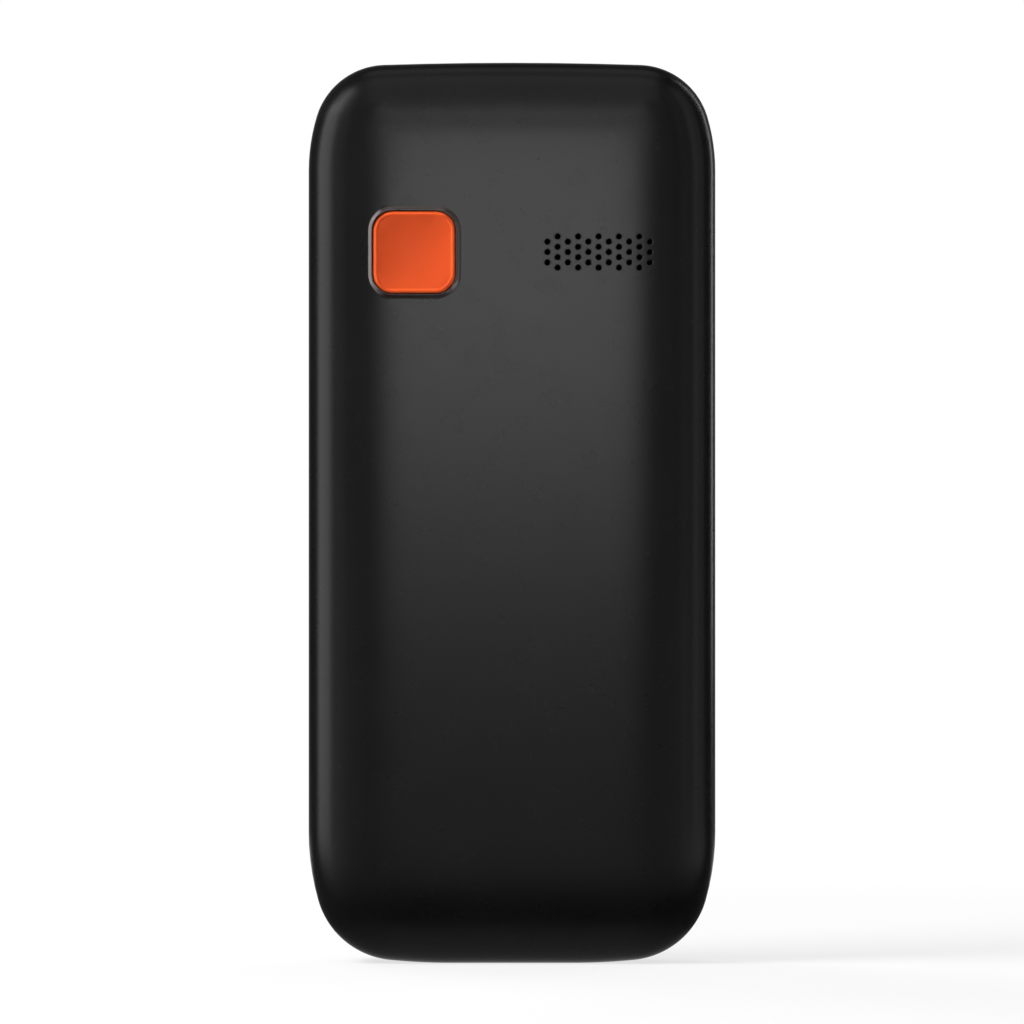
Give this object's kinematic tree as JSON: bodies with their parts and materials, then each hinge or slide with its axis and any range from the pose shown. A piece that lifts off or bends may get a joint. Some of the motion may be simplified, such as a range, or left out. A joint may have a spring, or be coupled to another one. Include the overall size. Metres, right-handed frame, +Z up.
{
  "type": "feature phone",
  "caption": "Bar feature phone with large keys, a small display, a square emergency key and speaker grille on its lift-off pillowed back cover.",
  "frame": {"origin": "middle of the footprint, on the surface that the phone stands on; it stands upright on its flat bottom end", "axes": "+X to the right as seen from the keypad, +Y from the keypad to the back cover, +Z up along the phone's length; the keypad faces -Y"},
  "size_m": [0.0516, 0.0144, 0.114],
  "materials": {
    "housing_black": "satin moulded black plastic",
    "cover_black": "soft satin black plastic",
    "window_glass": "clear window with a black printed border",
    "gasket_foam": "closed cell foam",
    "lcd_metal": "thin pressed steel",
    "lcd_glass": "dark switched off display",
    "mesh_metal": "fine woven steel mesh, blackened",
    "receiver_metal": "pressed steel can",
    "silicone_grey": "translucent grey silicone rubber",
    "dome_steel": "bright spring steel",
    "board_green": "glass fibre board with green solder mask",
    "can_tin": "tinned pressed steel",
    "port_steel": "bright plated steel",
    "black_plastic": "plain black moulding",
    "lens_clear": "clear moulded lens",
    "led_body": "white package with a yellow phosphor",
    "frame_black": "matt black moulding",
    "screw_steel": "dark plated steel",
    "battery_wrap": "plain grey sleeve, no label",
    "contact_gold": "gold plated leaf springs in black plastic",
    "magnet_metal": "nickel plated magnet",
    "cone_film": "thin amber film",
    "motor_steel": "plated steel can",
    "weight_steel": "sintered heavy alloy",
    "antenna_gold": "gold plated sheet",
    "sos_orange": "bright orange plastic, semi-gloss",
    "key_black": "semi-gloss black with a light number",
    "key_green": "green call key",
    "key_red": "red end key",
    "key_grey": "silver grey centre key",
    "pad_foam": "thin foam pad"
  },
  "bodies": {
    "phone_body": {"front_housing": "housing_black", "display_window": "window_glass", "display_gasket": "gasket_foam", "lcd_frame": "lcd_metal", "lcd_panel": "lcd_glass", "earpiece_mesh": "mesh_metal", "earpiece_receiver": "receiver_metal", "microphone": "receiver_metal", "microphone_boot": "gasket_foam", "keymat": "silicone_grey", "key_domes": "dome_steel", "main_board": "board_green", "shield_can_radio": "can_tin", "shield_can_processor": "can_tin", "sim_holder_1": "port_steel", "sim_holder_2": "port_steel", "memory_card_holder": "port_steel", "usb_port_shell": "port_steel", "usb_port_tongue": "black_plastic", "headphone_jack": "black_plastic", "torch_led": "led_body", "torch_lens": "lens_clear", "mid_frame": "frame_black", "chassis_screws": "screw_steel", "battery": "battery_wrap", "battery_contacts": "contact_gold", "loudspeaker_frame": "black_plastic", "loudspeaker_magnet": "magnet_metal", "loudspeaker_cone": "cone_film", "speaker_gasket": "gasket_foam", "vibration_motor": "motor_steel", "gsm_antenna": "antenna_gold", "sos_board": "board_green", "sos_switch": "black_plastic", "sos_retainer": "black_plastic"},
    "cover": {"rear_cover": "cover_black", "speaker_mesh": "mesh_metal", "battery_pad": "pad_foam"},
    "sos_button": {"sos_button": "sos_orange"},
    "motor_weight": {"motor_weight": "weight_steel"},
    "key_1": {"key_1": "key_black"},
    "key_2": {"key_2": "key_black"},
    "key_3": {"key_3": "key_black"},
    "key_4": {"key_4": "key_black"},
    "key_5": {"key_5": "key_black"},
    "key_6": {"key_6": "key_black"},
    "key_7": {"key_7": "key_black"},
    "key_8": {"key_8": "key_black"},
    "key_9": {"key_9": "key_black"},
    "key_star": {"key_star": "key_black"},
    "key_0": {"key_0": "key_black"},
    "key_hash": {"key_hash": "key_black"},
    "left_soft_key": {"left_soft_key": "key_black"},
    "right_soft_key": {"right_soft_key": "key_black"},
    "call_key": {"call_key": "key_green"},
    "end_key": {"end_key": "key_red"},
    "nav_rocker": {"nav_rocker": "key_grey"}
  },
  "joints": [
    {"name": "cover_off", "type": "slide", "parent": "phone_body", "child": "cover", "axis": [0, 1, 0], "range_m": [0, 0.02]},
    {"name": "sos_press", "type": "slide", "parent": "phone_body", "child": "sos_button", "axis": [0, -1, 0], "range_m": [0, 0.0005], "stiffness_N_per_m": 3000},
    {"name": "motor_spin", "type": "hinge", "parent": "phone_body", "child": "motor_weight", "pos_m": [0.00225, 0.0031, 0.0917], "axis": [0, 0, 1], "continuous": true},
    {"name": "nav_tilt", "type": "hinge", "parent": "phone_body", "child": "nav_rocker", "pos_m": [0, -0.00415, 0.0499], "axis": [1, 0, 0], "range_deg": [-3, 3], "stiffness_Nm_per_rad": 0.1},
    {"name": "key_1_press", "type": "slide", "parent": "phone_body", "child": "key_1", "axis": [0, 1, 0], "range_m": [0, 0.00035], "stiffness_N_per_m": 3000},
    {"name": "key_2_press", "type": "slide", "parent": "phone_body", "child": "key_2", "axis": [0, 1, 0], "range_m": [0, 0.00035], "stiffness_N_per_m": 3000},
    {"name": "key_3_press", "type": "slide", "parent": "phone_body", "child": "key_3", "axis": [0, 1, 0], "range_m": [0, 0.00035], "stiffness_N_per_m": 3000},
    {"name": "key_4_press", "type": "slide", "parent": "phone_body", "child": "key_4", "axis": [0, 1, 0], "range_m": [0, 0.00035], "stiffness_N_per_m": 3000},
    {"name": "key_5_press", "type": "slide", "parent": "phone_body", "child": "key_5", "axis": [0, 1, 0], "range_m": [0, 0.00035], "stiffness_N_per_m": 3000},
    {"name": "key_6_press", "type": "slide", "parent": "phone_body", "child": "key_6", "axis": [0, 1, 0], "range_m": [0, 0.00035], "stiffness_N_per_m": 3000},
    {"name": "key_7_press", "type": "slide", "parent": "phone_body", "child": "key_7", "axis": [0, 1, 0], "range_m": [0, 0.00035], "stiffness_N_per_m": 3000},
    {"name": "key_8_press", "type": "slide", "parent": "phone_body", "child": "key_8", "axis": [0, 1, 0], "range_m": [0, 0.00035], "stiffness_N_per_m": 3000},
    {"name": "key_9_press", "type": "slide", "parent": "phone_body", "child": "key_9", "axis": [0, 1, 0], "range_m": [0, 0.00035], "stiffness_N_per_m": 3000},
    {"name": "key_star_press", "type": "slide", "parent": "phone_body", "child": "key_star", "axis": [0, 1, 0], "range_m": [0, 0.00035], "stiffness_N_per_m": 3000},
    {"name": "key_0_press", "type": "slide", "parent": "phone_body", "child": "key_0", "axis": [0, 1, 0], "range_m": [0, 0.00035], "stiffness_N_per_m": 3000},
    {"name": "key_hash_press", "type": "slide", "parent": "phone_body", "child": "key_hash", "axis": [0, 1, 0], "range_m": [0, 0.00035], "stiffness_N_per_m": 3000},
    {"name": "left_soft_key_press", "type": "slide", "parent": "phone_body", "child": "left_soft_key", "axis": [0, 1, 0], "range_m": [0, 0.00035], "stiffness_N_per_m": 3000},
    {"name": "right_soft_key_press", "type": "slide", "parent": "phone_body", "child": "right_soft_key", "axis": [0, 1, 0], "range_m": [0, 0.00035], "stiffness_N_per_m": 3000},
    {"name": "call_key_press", "type": "slide", "parent": "phone_body", "child": "call_key", "axis": [0, 1, 0], "range_m": [0, 0.00035], "stiffness_N_per_m": 3000},
    {"name": "end_key_press", "type": "slide", "parent": "phone_body", "child": "end_key", "axis": [0, 1, 0], "range_m": [0, 0.00035], "stiffness_N_per_m": 3000}
  ]
}
